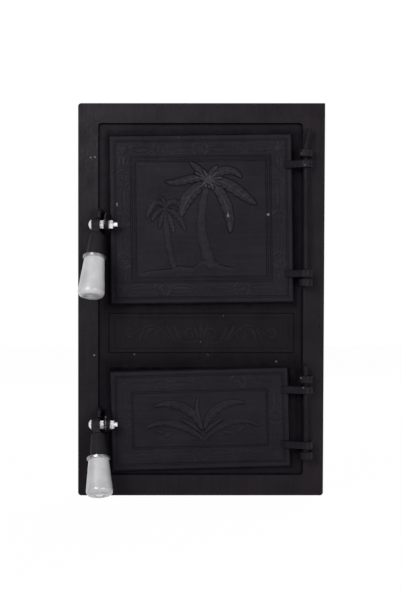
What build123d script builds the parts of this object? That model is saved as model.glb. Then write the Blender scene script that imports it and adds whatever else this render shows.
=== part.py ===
"""A double stove door of cast iron: a fire door over an ash door, hung on pins in one frame.

Each door is kept shut by a gravity latch, a lever whose weight holds its tail behind a keeper.
Millimetres. X runs to the right, Y into the wall and Z up. The origin is on the back of the
flange, at the middle of its lower edge.
"""

from build123d import *
import os
from dataclasses import dataclass
from math import asin, cos, degrees, radians

# Frame: the flange lies on the wall, and the collar behind it goes into the masonry.
frame_width = 312.0
frame_height = 500.0
top_right_spread = 3.0  # the casting is this much wider at its top right corner
flange_thickness = 6.0
flange_corner_radius = 4.0
flange_sharp_radius = 1.2  # of the top right corner
flange_edge_chamfer = 1.0
border_side = 25.5  # flange seen beside the sunk seat
border_top = 25.4
border_bottom = 26.2
seat_depth = 4.5  # how far the seat lies behind the flange's face
seat_thickness = 5.0
seat_corner_radius = 4.0
collar_wall = 5.0
collar_depth = 30.0
collar_corner_radius = 8.0
rib_thickness = 5.0
rib_depth = 12.0
anchor_hole_radius = 3.5
anchor_hole_depth = 17.0  # from the flange's back to the holes' centres
anchor_hole_spacing = 300.0

# The two doors and the panel between them, from the seat's lower edge upwards.
gap_below_lower_door = 7.8
lower_door_height = 127.5
gap_below_panel = 20.0
panel_height = 51.0
gap_above_panel = 12.0
gap_above_upper_door = 14.7
upper_door_left_gap = 14.5
upper_door_right_gap = 12.7
lower_door_left_gap = 16.0
lower_door_right_gap = 17.0
panel_left_gap = 13.3
panel_right_gap = 11.5
panel_rise = 2.0
panel_chamfer = 1.2

# Door plates.
door_plate = 5.4
door_bevel_width = 3.0
door_bevel_depth = 1.8
door_rim = 2.0  # height of the rim that meets the seat
door_rim_width = 6.0
door_rim_inset = 2.0
door_seat_clearance = 0.3
door_overlap = 12.0  # how far a door laps over the seat round its opening
bead_width = 1.8
bead_height = 0.7
bead_chamfer = 0.42
outer_bead_inset = 7.0
inner_bead_inset = 27.5
second_bead_inset = 32.5  # on the upper door alone
panel_bead_inset = 5.6

# Hinges.
pin_radius = 3.0
pin_clearance = 0.08
eye_radius = 9.0
eye_flange_clearance = 1.5
hinge_inset = 2.3  # from the seat's right edge to the pin's centre, outwards
lug_height = 9.2
door_lug_root = 13.0  # how far a door's lug runs onto its face
door_lug_bite = 0.5  # how far it runs into the face
frame_lug_foot = 9.5  # from the pin's centre outwards
lug_edge_chamfer = 0.6
seat_boss_radius = 4.2
running_gap = 0.3
pin_stick_out = 1.5  # below the lowest lug
bent_pin_rise = 27.0  # above the highest lug
bent_pin_straight = 2.1  # from the highest lug to the bend
bent_pin_lean = 5.1
bent_pin_radius = 14.0
pin_head_radius = 3.7
pin_head_height = 8.8
pin_head_rise = 5.7
pin_head_round = 3.0

# Latches: an M6 bolt through the door's ear carries the lever.
bolt_radius = 3.0
bolt_length = 32.8
bolt_head_radius = 6.7
bolt_head_height = 3.8
bolt_tip_chamfer = 0.6
bolt_hole_clearance = 0.3
lever_bore_clearance = 0.075
nut_across_flats = 10.0
nut_height = 5.0
nut_bore_clearance = 0.05
nut_chamfer = 0.6
bolt_reach = 18.0  # from the flange's face forward to the bolt's centre
ear_overlap = 0.8  # how far the ear laps over the door's left edge
ear_nose_radius = 8.0
ear_chamfer = 1.2  # of the ear's outer edges
ear_rise = 18.0
ear_drop = 12.0
ear_back_gap = 0.8  # the ear's root ends this far in front of the door's back
lever_end_play = 0.3
hub_length = 10.0
hub_keeper_clearance = 1.3
neck_root_width = 9.0  # where the neck leaves the hub
neck_root_depth = 12.0
neck_root_drop = 6.8
neck_shoulder_radius = 8.6
neck_shoulder_drop = 11.5
neck_shoulder_slope = (3.4, 2.6)  # how far its rounding runs in and down
neck_end_radius = 10.7
neck_length = 42.3
tail_flange_clearance = 1.2
tail_thickness = 3.5
tail_root_bite = 1.1  # how far the tail runs into the hub
tail_left = -0.9  # from the hub's middle
tail_right = 5.3
tail_root_angles = (-82.0, -22.0)  # round the bolt, with the neck straight down
tail_finger_start = -62.0
tail_stem_clearance = 0.94  # between the tail's end and the keeper's stem
latch_play = 0.5  # between the tail and the keeper's nose
keeper_nose_thickness = 3.5
keeper_nose_angle = 12.0
keeper_top_angle = 82.0
keeper_nose_overlap = 1.4  # how far the nose runs up into the stem
keeper_stem_height = 9.6
keeper_stem_front = 2.6
keeper_round = 8.0
keeper_thickness = 3.1
keeper_inset = 1.0  # from the seat's left edge to the keeper

# Grips: a ferrule, a glazed grip and a long screw, along the lever's neck.
ferrule_radius = 14.5
ferrule_height = 4.0
ferrule_cup_depth = 1.5
ferrule_chamfer = 0.8
grip_top_radius = 12.5
grip_end_radius = 17.3
grip_round = 6.0
grip_recess_radius = 6.0
grip_recess_depth = 3.0
grip_cup_clearance = 0.3
screw_radius = 3.0
screw_clearance = 0.3
screw_thread_clearance = 0.05
screw_bite = 16.0  # length of the screw in the lever's neck
screw_head_radius = 5.6
screw_head_height = 2.6
screw_head_chamfer = 0.6
screw_slot_width = 1.2
screw_slot_depth = 1.2

# Overshoot of a cutting body past the face that it cuts.
past = 1.0

# Planes of the castings, from the wall towards the viewer.
flange_face = -flange_thickness
seat_face = flange_face + seat_depth
seat_back = seat_face + seat_thickness
door_back = seat_face - door_seat_clearance - door_rim
door_face = door_back - door_plate

# Outlines in the front view.
seat_right = frame_width / 2 - border_side
seat_left = -seat_right
seat_low = border_bottom
seat_high = frame_height - border_top
hinge_x = seat_right + hinge_inset
hinge_y = flange_face - eye_flange_clearance - eye_radius
bolt_y = flange_face - bolt_reach

# The latch's hooks, as radii round the bolt, from the flange inwards.
tail_outer_radius = bolt_reach - tail_flange_clearance
tail_inner_radius = tail_outer_radius - tail_thickness
keeper_outer_radius = tail_inner_radius - latch_play
keeper_inner_radius = keeper_outer_radius - keeper_nose_thickness
hub_radius = keeper_inner_radius - hub_keeper_clearance
tail_root_radius = hub_radius - tail_root_bite
keeper_stem_low = keeper_outer_radius - keeper_nose_overlap


@dataclass
class Leaf:
    """One door, its hinge and its latch: the outline in the front view and the heights."""

    name: str
    left: float
    right: float
    low: float
    high: float
    plate_turn: float  # degrees that the plate is cast out of square, left side down
    beads: tuple  # insets of the bead frames from the plate's edge
    top_lug_inset: float  # from the plate's top down to its upper lug
    bottom_lug_inset: float  # from the plate's bottom up to its lower lug
    top_lug_gap: float  # between the upper lug and the frame's lug over it
    bottom_lug_gap: float
    latch_height: float  # of the bolt above the plate's bottom
    ear_thickness: float
    lever_tilt: float  # degrees that the neck stands forward of plumb
    lever_lean: float  # degrees that the neck leans, to the right
    neck_offset: float  # of the neck from the hub's middle, to the right
    grip_length: float

    @property
    def bolt_z(self):
        return self.low + self.latch_height

    @property
    def door_lugs(self):
        """Heights at which the door's two lugs start, the lower one first."""
        return self.low + self.bottom_lug_inset, self.high - self.top_lug_inset - lug_height

    @property
    def frame_lugs(self):
        """Heights at which the frame's two lugs start, below and above the door's."""
        low, high = self.door_lugs
        return low - self.bottom_lug_gap - lug_height, high + lug_height + self.top_lug_gap

    @property
    def ear_right(self):
        return self.left + ear_overlap

    @property
    def ear_left(self):
        return self.ear_right - self.ear_thickness

    @property
    def hub_right(self):
        return self.ear_left - nut_height - lever_end_play

    @property
    def hub_middle(self):
        return self.hub_right - hub_length / 2

    @property
    def bolt_shoulder(self):
        """Where the underside of the bolt's head lies."""
        return self.hub_right - hub_length - lever_end_play


lower_door_low = seat_low + gap_below_lower_door
panel_low = lower_door_low + lower_door_height + gap_below_panel
panel_high = panel_low + panel_height
upper_leaf = Leaf(
    name="upper",
    left=seat_left + upper_door_left_gap,
    right=seat_right - upper_door_right_gap,
    low=panel_high + gap_above_panel,
    high=seat_high - gap_above_upper_door,
    plate_turn=0.7,
    beads=(outer_bead_inset, inner_bead_inset, second_bead_inset),
    top_lug_inset=34.4,
    bottom_lug_inset=33.4,
    top_lug_gap=4.4,
    bottom_lug_gap=2.2,
    latch_height=99.5,
    ear_thickness=6.3,
    lever_tilt=18.5,
    lever_lean=-3.6,
    neck_offset=2.5,
    grip_length=51.2,
)
lower_leaf = Leaf(
    name="lower",
    left=seat_left + lower_door_left_gap,
    right=seat_right - lower_door_right_gap,
    low=lower_door_low,
    high=lower_door_low + lower_door_height,
    plate_turn=1.5,
    beads=(outer_bead_inset, inner_bead_inset),
    top_lug_inset=21.6,
    bottom_lug_inset=27.2,
    top_lug_gap=4.2,
    bottom_lug_gap=3.8,
    latch_height=58.3,
    ear_thickness=7.7,
    lever_tilt=23.5,
    lever_lean=3.5,
    neck_offset=2.2,
    grip_length=46.7,
)
leaves = (upper_leaf, lower_leaf)


def rect(left, right, low, high, radius=0.0):
    """A rectangle in the front view, given by its sides."""
    width, height = right - left, high - low
    shape = RectangleRounded(width, height, radius) if radius else Rectangle(width, height)
    return Pos((left + right) / 2, (low + high) / 2) * shape


def slab(sketch, back, front):
    """A front view sketch given thickness from one depth to another, nearer the viewer."""
    return extrude(Plane.XZ.offset(-back) * sketch, back - front)


def inset(sides, amount, radius=0.0):
    """The rectangle that lies this far inside the given sides."""
    left, right, low, high = sides
    return rect(left + amount, right - amount, low + amount, high - amount, radius)


def bead_frame(sides, amount, base):
    """A raised bead that runs round as a rectangle, at this inset from the sides."""
    outer = inset(sides, amount)
    inner = inset(sides, amount + bead_width)
    bead = slab(outer - inner, base + bead_height, base - bead_height)
    front = bead.faces().sort_by(Axis.Y)[0]
    return chamfer(front.edges(), bead_chamfer)


def ring_sector(inner, outer, start, end):
    """A piece of a ring round the origin, between two angles in degrees."""
    rim = CenterArc((0, 0), outer, start, end - start)
    bore = CenterArc((0, 0), inner, start, end - start)
    return make_face([rim, bore, Line(rim @ 0, bore @ 0), Line(rim @ 1, bore @ 1)])


def side_plate(sketch, leaf, left, right):
    """A sketch round the bolt, seen from the right end, given thickness along the bolt."""
    plane = Plane(origin=(left, bolt_y, leaf.bolt_z), x_dir=(0, 1, 0), z_dir=(1, 0, 0))
    return extrude(plane * sketch, right - left)


def along_x(radius, left, right, leaf):
    """A round bar on the bolt's axis."""
    bar = Cylinder(radius, right - left, rotation=(0, 90, 0))
    return Pos((left + right) / 2, bolt_y, leaf.bolt_z) * bar


def lug(sketch, start):
    """A hinge lug: a plan view sketch given a lug's height, with the pin's hole through it."""
    blank = extrude(Plane.XY.offset(start) * sketch, lug_height)
    rims = blank.faces().filter_by(Plane.XY).edges()
    hole = Pos(hinge_x, hinge_y, start) * Cylinder(pin_radius + pin_clearance, 2 * (lug_height + past))
    return chamfer(rims, lug_edge_chamfer) - hole


def eye_with_root(points):
    """The plan of a lug: the eye round the pin, drawn out to a root at the given points."""
    eye = (Pos(hinge_x, hinge_y) * Circle(eye_radius)).edges()
    root = Polyline(*points).edges()
    return make_hull([*eye, *root])


def flange_outline():
    """The flange's outline, a little wider at its top right corner."""
    half = frame_width / 2
    corners = [(-half, 0), (half, 0), (half + top_right_spread, frame_height), (-half, frame_height)]
    outline = Polygon(*corners, align=None)
    sharp = outline.vertices().group_by(Axis.Y)[-1].sort_by(Axis.X)[-1]
    outline = fillet([v for v in outline.vertices() if v != sharp], flange_corner_radius)
    sharp = outline.vertices().sort_by_distance((half + top_right_spread, frame_height))[0]
    return fillet(sharp, flange_sharp_radius)


def opening(leaf):
    """The stove's opening behind a door."""
    return inset((leaf.left, leaf.right, leaf.low, leaf.high), door_overlap, seat_corner_radius)


def keeper(leaf):
    """The hooked fin that a lever's tail rests behind, standing on the seat."""
    reach = seat_face - bolt_y + past
    stem = rect(keeper_stem_front, reach, keeper_stem_low, keeper_stem_low + keeper_stem_height)
    front_top = stem.vertices().group_by(Axis.Y)[-1].sort_by(Axis.X)[0]
    stem = fillet(front_top, keeper_round)
    nose = ring_sector(keeper_inner_radius, keeper_outer_radius, keeper_nose_angle, keeper_top_angle)
    profile = stem + nose - Circle(keeper_inner_radius)
    left = seat_left + keeper_inset
    return side_plate(profile, leaf, left, left + keeper_thickness)


def frame_lug(start):
    """A lug on the flange, with a foot."""
    points = [(seat_right + past, flange_face + past), (hinge_x + frame_lug_foot, flange_face + past)]
    return lug(eye_with_root(points), start)


def seat_boss(leaf):
    """The small boss on the lower frame lug, which carries the door's lug."""
    start = leaf.frame_lugs[0] + lug_height
    height = leaf.bottom_lug_gap - running_gap
    ring = Circle(seat_boss_radius) - Circle(pin_radius + pin_clearance)
    return extrude(Plane.XY.offset(start) * (Pos(hinge_x, hinge_y) * ring), height)


def make_frame():
    """The frame casting."""
    collar_sides = (
        seat_left - collar_wall,
        seat_right + collar_wall,
        seat_low - collar_wall,
        seat_high + collar_wall,
    )
    flange = slab(flange_outline(), 0, flange_face)
    front = flange.faces().sort_by(Axis.Y)[0]
    body = chamfer(front.edges(), flange_edge_chamfer)
    collar = inset(collar_sides, 0, collar_corner_radius)
    body += slab(collar, collar_depth, 0)
    hollow = inset(collar_sides, collar_wall, seat_corner_radius)
    body -= slab(hollow, collar_depth + past, seat_back)
    body -= slab(hollow, seat_face, flange_face - past)
    for leaf in leaves:
        body -= slab(opening(leaf), seat_back + past, seat_face - past)
    for low in (upper_leaf.low + door_overlap - rib_thickness, lower_leaf.high - door_overlap):
        rib = rect(seat_left - past, seat_right + past, low, low + rib_thickness)
        body += slab(rib, seat_back + rib_depth, seat_back - past)
    panel_sides = (seat_left + panel_left_gap, seat_right - panel_right_gap, panel_low, panel_high)
    panel = slab(inset(panel_sides, 0), seat_face + past, seat_face - panel_rise)
    body += chamfer(panel.faces().sort_by(Axis.Y)[0].edges(), panel_chamfer)
    body += bead_frame(panel_sides, panel_bead_inset, seat_face - panel_rise)
    for leaf in leaves:
        body += [keeper(leaf), seat_boss(leaf)] + [frame_lug(start) for start in leaf.frame_lugs]
    middle = (seat_low + seat_high) / 2
    for z in (middle - anchor_hole_spacing / 2, middle + anchor_hole_spacing / 2):
        drill = Cylinder(anchor_hole_radius, frame_width + 2 * past, rotation=(0, 90, 0))
        body -= Pos(0, anchor_hole_depth, z) * drill
    return body


def door_plate_body(leaf):
    """The plate of a door: its bevelled edge, the beads on its face and the rim behind it."""
    sides = (leaf.left, leaf.right, leaf.low, leaf.high)
    plate = slab(inset(sides, 0), door_back, door_face)
    front = plate.faces().sort_by(Axis.Y)[0]
    body = chamfer(front.edges(), door_bevel_depth, door_bevel_width, reference=front)
    rim = inset(sides, door_rim_inset) - inset(sides, door_rim_inset + door_rim_width)
    body += slab(rim, door_back + door_rim, door_back - past)
    for amount in leaf.beads:
        body += bead_frame(sides, amount, door_face)
    middle = ((leaf.left + leaf.right) / 2, 0, (leaf.low + leaf.high) / 2)
    return Pos(*middle) * Rot(0, -leaf.plate_turn, 0) * Pos(*middle).inverse() * body


def door_lug(leaf, start):
    """A lug on a door, which runs from its face over the frame to the pin."""
    back = hinge_y + eye_radius
    points = [
        (leaf.right - door_lug_root, door_face + door_lug_bite),
        (leaf.right - door_lug_root, back),
        (leaf.right - door_bevel_width, back),
    ]
    return lug(eye_with_root(points), start)


def door_ear(leaf):
    """The fin at the door's left edge that carries the latch bolt."""
    root = door_back - ear_back_gap - bolt_y
    nose = Circle(ear_nose_radius)
    outline = make_hull([*nose.edges(), *Polyline((root, -ear_drop), (root, ear_rise)).edges()])
    fin = side_plate(outline, leaf, leaf.ear_left, leaf.ear_right)
    fin = chamfer(fin.faces().sort_by(Axis.X)[0].edges(), ear_chamfer)
    return fin - along_x(bolt_radius + bolt_hole_clearance, leaf.ear_left - past, leaf.ear_right + past, leaf)


def make_door(leaf):
    """A door casting."""
    return door_plate_body(leaf) + [door_ear(leaf)] + [door_lug(leaf, start) for start in leaf.door_lugs]


def make_bent_pin(leaf):
    """The upper hinge pin: its bent top keeps it from dropping through."""
    bottom = leaf.frame_lugs[0] - pin_stick_out
    highest = leaf.frame_lugs[1] + lug_height
    bend = highest + bent_pin_straight
    top = highest + bent_pin_rise
    points = [(hinge_x, hinge_y, bottom), (hinge_x, hinge_y, bend), (hinge_x + bent_pin_lean, hinge_y, top)]
    path = FilletPolyline(*points, radius=bent_pin_radius)
    section = Plane((hinge_x, hinge_y, bottom)) * Circle(pin_radius)
    return sweep(section, path=path)


def make_headed_pin(leaf):
    """The lower hinge pin, with a rounded head that stands above its top lug."""
    bottom = leaf.frame_lugs[0] - pin_stick_out
    shoulder = leaf.frame_lugs[1] + lug_height + pin_head_rise
    rod = Cylinder(pin_radius, shoulder - bottom, align=(Align.CENTER, Align.CENTER, Align.MIN))
    head = Cylinder(pin_head_radius, pin_head_height, align=(Align.CENTER, Align.CENTER, Align.MIN))
    head = fillet(head.edges().group_by(Axis.Z)[-1], pin_head_round)
    return Pos(hinge_x, hinge_y, bottom) * rod + Pos(hinge_x, hinge_y, shoulder) * head


def make_bolt(leaf):
    """The cup head bolt that the lever turns on."""
    shoulder = leaf.bolt_shoulder
    shank = along_x(bolt_radius, shoulder, shoulder + bolt_length, leaf)
    tip = shank.faces().sort_by(Axis.X)[-1]
    shank = chamfer(tip.edges(), bolt_tip_chamfer)
    rise = bolt_head_height
    ball_radius = (bolt_head_radius**2 + rise**2) / (2 * rise)
    ball = Pos(shoulder - rise + ball_radius, bolt_y, leaf.bolt_z) * Sphere(ball_radius)
    cup = ball & along_x(bolt_head_radius, shoulder - rise - past, shoulder, leaf)
    return shank + cup


def make_nut(leaf, left):
    """A hexagon nut on the bolt, with its corners turned down."""
    corner_radius = nut_across_flats / 2 / cos(radians(30))
    hexagon = RegularPolygon(corner_radius, 6) - Circle(bolt_radius + nut_bore_clearance)
    prism = side_plate(hexagon, leaf, left, left + nut_height)
    blank = along_x(corner_radius, left, left + nut_height, leaf)
    blank = chamfer(blank.edges().filter_by(GeomType.CIRCLE), nut_chamfer / 2, nut_chamfer)
    return prism & blank


def lever_place(leaf):
    """Where a lever's own frame lies: the hub's middle, tilted forward with the neck down."""
    return Pos(leaf.hub_middle, bolt_y, leaf.bolt_z) * Rot(-leaf.lever_tilt, 0, 0)


def neck_place(leaf):
    """Where the neck's axis lies, with the hub's height as its zero and the grip below."""
    return lever_place(leaf) * Pos(leaf.neck_offset, 0, 0) * Rot(0, -leaf.lever_lean, 0)


def turned(profile):
    """A profile in the plane of the neck's axis, turned once round it."""
    return revolve(Plane.XZ * make_face(profile), Axis.Z)


def tail_end_angle():
    """Where the tail ends round the bolt: just below the keeper's stem, on the least tilted lever."""
    under_stem = (keeper_stem_low - tail_stem_clearance) / tail_outer_radius
    return degrees(asin(under_stem)) + min(leaf.lever_tilt for leaf in leaves)


def make_lever(leaf):
    """The latch lever: hub, hooked tail and tapered neck in one casting."""
    leaning = Pos(leaf.neck_offset, 0, 0) * Rot(0, -leaf.lever_lean, 0)
    root = Rectangle(neck_root_width, neck_root_depth)
    inwards, down = neck_shoulder_slope
    top_radius = neck_shoulder_radius - inwards
    shoulder = leaning * Pos(0, 0, -neck_shoulder_drop) * Circle(top_radius)
    root_end = Pos(0, 0, -neck_root_drop) * root
    neck = extrude(root_end, neck_root_drop) + loft([root_end, shoulder])
    neck += leaning * turned(
        Polyline(
            (0, -neck_shoulder_drop),
            (top_radius, -neck_shoulder_drop),
            (neck_shoulder_radius, -neck_shoulder_drop - down),
            (neck_end_radius, -neck_length),
            (0, -neck_length),
            close=True,
        )
    )
    thread = Cylinder(
        screw_radius + screw_thread_clearance,
        screw_bite + past,
        align=(Align.CENTER, Align.CENTER, Align.MIN),
    )
    neck -= leaning * Pos(0, 0, -neck_length) * thread
    hub = Cylinder(hub_radius, hub_length, rotation=(0, 90, 0))
    tail_root = ring_sector(tail_root_radius, tail_outer_radius, *tail_root_angles)
    tail = extrude(Plane.YZ.offset(tail_left) * tail_root, hub_length / 2 - tail_left)
    finger = ring_sector(tail_inner_radius, tail_outer_radius, tail_finger_start, tail_end_angle())
    tail += extrude(Plane.YZ.offset(tail_left) * finger, tail_right - tail_left)
    bore = Cylinder(bolt_radius + lever_bore_clearance, hub_length + 2 * past, rotation=(0, 90, 0))
    return lever_place(leaf) * (hub + neck + tail - bore)


def make_ferrule(leaf):
    """The ring between neck and grip, cupped to take the grip's top."""
    top = -neck_length
    disc = Pos(0, 0, top - ferrule_height) * Cylinder(
        ferrule_radius, ferrule_height, align=(Align.CENTER, Align.CENTER, Align.MIN)
    )
    disc = chamfer(disc.edges().filter_by(GeomType.CIRCLE), ferrule_chamfer)
    cup = Pos(0, 0, top - ferrule_height) * Cylinder(
        grip_top_radius + grip_cup_clearance, 2 * ferrule_cup_depth
    )
    hole = Pos(0, 0, top) * Cylinder(screw_radius + screw_clearance, 2 * (ferrule_height + past))
    return neck_place(leaf) * (disc - cup - hole)


def grip_top():
    """Height of the grip's top in the neck's frame."""
    return -neck_length - ferrule_height + ferrule_cup_depth


def make_grip(leaf):
    """The glazed grip: a tapered barrel with a rounded end and a recess for the screw."""
    top = grip_top()
    end = top - leaf.grip_length
    bore = screw_radius + screw_clearance
    outline = Polyline(
        (bore, top),
        (grip_top_radius, top),
        (grip_end_radius, end),
        (grip_recess_radius, end),
        (grip_recess_radius, end + grip_recess_depth),
        (bore, end + grip_recess_depth),
        close=True,
    )
    barrel = turned(outline)
    rim = barrel.edges().filter_by(GeomType.CIRCLE).group_by(Axis.Z)[0].sort_by(SortBy.RADIUS)[-1]
    return neck_place(leaf) * fillet(rim, grip_round)


def make_grip_screw(leaf):
    """The long screw that draws the grip and its ferrule against the lever's neck."""
    seat = grip_top() - leaf.grip_length + grip_recess_depth
    tip = -neck_length + screw_bite
    shank = Pos(0, 0, seat) * Cylinder(
        screw_radius, tip - seat, align=(Align.CENTER, Align.CENTER, Align.MIN)
    )
    head = Pos(0, 0, seat) * Cylinder(
        screw_head_radius, screw_head_height, align=(Align.CENTER, Align.CENTER, Align.MAX)
    )
    head = chamfer(head.edges().group_by(Axis.Z)[0], screw_head_chamfer)
    slot = Pos(0, 0, seat - screw_head_height) * Box(
        2 * (screw_head_radius + past), screw_slot_width, 2 * screw_slot_depth
    )
    return neck_place(leaf) * (shank + head - slot)


def make_parts():
    """Every piece by its name."""
    parts = {
        "frame": make_frame(),
        "upper_hinge_pin": make_bent_pin(upper_leaf),
        "lower_hinge_pin": make_headed_pin(lower_leaf),
    }
    for leaf in leaves:
        parts[f"{leaf.name}_door"] = make_door(leaf)
        parts[f"{leaf.name}_latch_bolt"] = make_bolt(leaf)
        parts[f"{leaf.name}_jam_nut"] = make_nut(leaf, leaf.ear_left - nut_height)
        parts[f"{leaf.name}_lock_nut"] = make_nut(leaf, leaf.ear_right)
        parts[f"{leaf.name}_latch_lever"] = make_lever(leaf)
        parts[f"{leaf.name}_grip_ferrule"] = make_ferrule(leaf)
        parts[f"{leaf.name}_grip"] = make_grip(leaf)
        parts[f"{leaf.name}_grip_screw"] = make_grip_screw(leaf)
    return parts


os.makedirs("parts", exist_ok=True)
for name, solid in make_parts().items():
    export_step(solid, f"parts/{name}.step")
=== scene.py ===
"""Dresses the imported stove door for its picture.

The doors and the panel get their cast relief, the grips their glaze and the bolts their threads.
Sizes are in millimetres in the part's own frame, and become metres where a mesh is made.
"""

from __future__ import annotations

import logging
import math
from dataclasses import dataclass
from enum import Enum
from typing import Iterable, Sequence

import bpy
import numpy as np
from mathutils import Matrix, Vector

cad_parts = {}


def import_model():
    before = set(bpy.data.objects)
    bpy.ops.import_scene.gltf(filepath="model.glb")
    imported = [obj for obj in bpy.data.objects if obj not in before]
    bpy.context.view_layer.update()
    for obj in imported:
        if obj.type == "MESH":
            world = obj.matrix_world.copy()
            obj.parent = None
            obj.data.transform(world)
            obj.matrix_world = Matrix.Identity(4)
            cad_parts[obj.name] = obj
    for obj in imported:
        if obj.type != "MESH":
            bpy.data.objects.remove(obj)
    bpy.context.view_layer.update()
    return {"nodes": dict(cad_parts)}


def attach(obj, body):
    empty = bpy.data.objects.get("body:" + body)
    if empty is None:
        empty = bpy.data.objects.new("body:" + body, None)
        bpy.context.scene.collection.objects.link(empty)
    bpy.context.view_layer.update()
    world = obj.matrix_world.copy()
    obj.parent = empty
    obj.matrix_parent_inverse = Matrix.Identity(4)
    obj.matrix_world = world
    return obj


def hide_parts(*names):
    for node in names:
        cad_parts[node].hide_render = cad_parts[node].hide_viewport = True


MM = 0.001
LOG = logging.getLogger("stove_door")

Array = np.ndarray
Colour = tuple[float, float, float]
Point = tuple[float, float]
Place = tuple[float, float, float]
Socket = bpy.types.NodeSocket


def smooth_step(value: Array) -> Array:
    """Rises with level ends from 0 to 1, as the value does: 3 v squared less 2 v cubed."""
    v = np.clip(value, 0.0, 1.0)
    return v * v * (3.0 - 2.0 * v)


def smooth_path(points: Sequence[Point], count: int = 32, degree: int = 3) -> Array:
    """Draws one smooth line near a few points.

    Each coordinate is a polynomial of the share of the chord length, fitted to the points.

    Args:
        points: The points that the line passes by, from its start to its end.
        count: How many points the line gets.
        degree: The highest power of the polynomial, which few points lower.

    Returns:
        The line's points, one to a row.
    """
    known = np.asarray(points, float)
    steps = np.hypot(*np.diff(known, axis=0).T)
    share = np.concatenate([[0.0], np.cumsum(steps)]) / steps.sum()
    power = min(degree, len(known) - 1)
    at = np.linspace(0.0, 1.0, count)
    return np.stack([np.polyval(np.polyfit(share, known[:, i], power), at) for i in (0, 1)], axis=1)


def spiral(centre: Point, radii: Point, angles: Point, count: int = 26) -> Array:
    """Draws a curl whose radius goes evenly from the first value to the last as its angle turns.

    Args:
        centre: The point that it winds round.
        radii: The first and the last radius.
        angles: The first and the last angle, in degrees.
        count: How many points the line gets.

    Returns:
        The curl's points, one to a row.
    """
    turn = np.radians(np.linspace(*angles, count))
    radius = np.linspace(*radii, count)
    return np.stack([centre[0] + radius * np.cos(turn), centre[1] + radius * np.sin(turn)], axis=1)


def nearest_on_path(path: Array, x: Array, z: Array) -> tuple[Array, Array, Array]:
    """Finds the nearest place on a line for many points at once.

    For each stretch of the line the foot of the perpendicular is clamped to the stretch, and the
    stretch with the smallest distance wins.

    Args:
        path: The line's points, one to a row.
        x: First coordinates of the points.
        z: Second coordinates of the points.

    Returns:
        The distance, the share of the line's length at that place, and the side, 1 to the left
        of the line's run and -1 to the right.
    """
    steps = np.diff(path, axis=0)
    lengths = np.hypot(steps[:, 0], steps[:, 1])
    before = np.concatenate([[0.0], np.cumsum(lengths)])
    best = np.full(x.shape, np.inf)
    share = np.zeros(x.shape)
    side = np.ones(x.shape)
    for (px, pz), (sx, sz), length, start in zip(path, steps, lengths, before):
        dx, dz = x - px, z - pz
        foot = np.clip((dx * sx + dz * sz) / length**2, 0.0, 1.0)
        apart = np.hypot(dx - foot * sx, dz - foot * sz)
        nearer = apart < best
        best = np.where(nearer, apart, best)
        share = np.where(nearer, (start + foot * length) / before[-1], share)
        side = np.where(nearer, np.where(sx * dz - sz * dx >= 0.0, 1.0, -1.0), side)
    return best, share, side


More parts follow.
